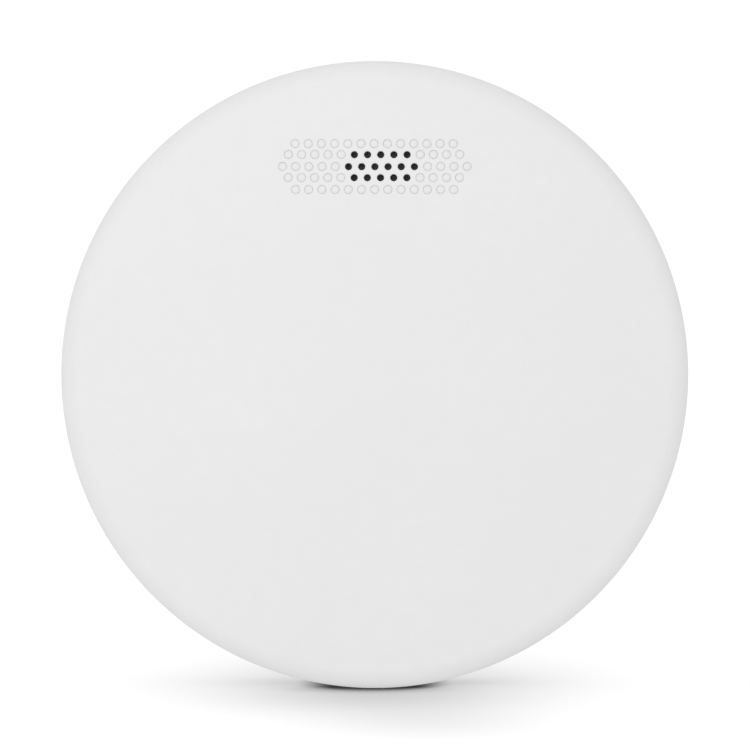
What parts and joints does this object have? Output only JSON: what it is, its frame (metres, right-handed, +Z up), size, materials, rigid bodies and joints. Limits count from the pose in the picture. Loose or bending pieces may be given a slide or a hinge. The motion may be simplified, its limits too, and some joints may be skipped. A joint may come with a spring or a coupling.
{
  "type": "smoke detector",
  "caption": "Flat round battery smoke detector with a press-to-test front cover, an edge smoke inlet, a twist-off wall plate and a slide-out battery drawer.",
  "frame": {"origin": "centre of the mounting plate's rear face, where it lies on the wall or ceiling", "axes": "-Y is the way the front cover faces, away from the wall; +Z is up; +X is to the right seen from the front"},
  "size_m": [0.12, 0.038, 0.12],
  "materials": {
    "white_moulding": "fine satin moulding",
    "white_rear_moulding": "fine satin moulding",
    "black_moulding": "matt",
    "black_mesh": "woven acoustic mesh",
    "grey_foam": "closed-cell foam",
    "board_green": "solder mask",
    "spring_steel": "drawn and plated",
    "screw_steel": "zinc plated",
    "screen_steel": "woven wire",
    "brass": "rolled sheet",
    "fired_ceramic": "satin",
    "clear_acrylic": "clear",
    "dark_lens": "tinted lens",
    "chip_black": "moulded",
    "ferrite": "pressed ferrite",
    "aluminium_can": "satin",
    "cell_wrap": "printed sleeve"
  },
  "bodies": {
    "wall_plate": {"mounting_plate": "white_rear_moulding"},
    "head": {"rear_housing": "white_moulding", "inlet_ring": "black_moulding", "circuit_board": "board_green", "board_screw_upper_left": "screw_steel", "board_screw_upper_right": "screw_steel", "board_screw_lower_left": "screw_steel", "board_screw_lower_right": "screw_steel", "chamber_base": "black_moulding", "chamber_cap": "black_moulding", "insect_screen": "screen_steel", "infrared_led": "clear_acrylic", "photodiode": "dark_lens", "sounder_housing": "black_moulding", "sounder_cap": "black_moulding", "piezo_disc": "brass", "piezo_ceramic": "fired_ceramic", "piezo_contact_ceramic": "spring_steel", "piezo_contact_disc": "spring_steel", "test_switch_body": "chip_black", "microcontroller": "chip_black", "boost_inductor": "ferrite", "reservoir_capacitor": "aluminium_can", "status_led": "fired_ceramic", "light_pipe": "clear_acrylic", "cover_spring_upper_left": "spring_steel", "cover_spring_upper_right": "spring_steel", "cover_spring_lower_left": "spring_steel", "cover_spring_lower_right": "spring_steel", "battery_bay": "white_rear_moulding", "drawer_contact_left": "spring_steel", "drawer_contact_right": "spring_steel"},
    "cover": {"front_cover": "white_moulding", "grille_mesh": "black_mesh", "sounder_gasket": "grey_foam"},
    "switch_plunger": {"test_switch_plunger": "chip_black"},
    "drawer": {"battery_drawer": "white_moulding", "battery_inner": "cell_wrap", "battery_outer": "cell_wrap", "battery_spring_inner": "spring_steel", "battery_spring_outer": "spring_steel", "battery_contact_bridge": "spring_steel", "battery_contact_positive": "spring_steel", "battery_contact_negative": "spring_steel"}
  },
  "joints": [
    {"name": "head_twist", "type": "hinge", "parent": "wall_plate", "child": "head", "pos_m": [0, 0, 0], "axis": [0, -1, 0], "range_deg": [0, 16]},
    {"name": "cover_press", "type": "slide", "parent": "head", "child": "cover", "axis": [0, 1, 0], "range_m": [0, 0.001], "stiffness_N_per_m": 2500, "springref_m": -0.001, "deforming": ["cover_spring_upper_left", "cover_spring_upper_right", "cover_spring_lower_left", "cover_spring_lower_right"]},
    {"name": "switch_travel", "type": "slide", "parent": "head", "child": "switch_plunger", "axis": [0, 1, 0], "range_m": [0, 0.0003]},
    {"name": "drawer_slide", "type": "slide", "parent": "head", "child": "drawer", "axis": [0, 0, -1], "range_m": [0, 0.028]}
  ],
  "couplings": [
    {"joint": "switch_travel", "follows": "cover_press", "ratio": 0.3}
  ]
}
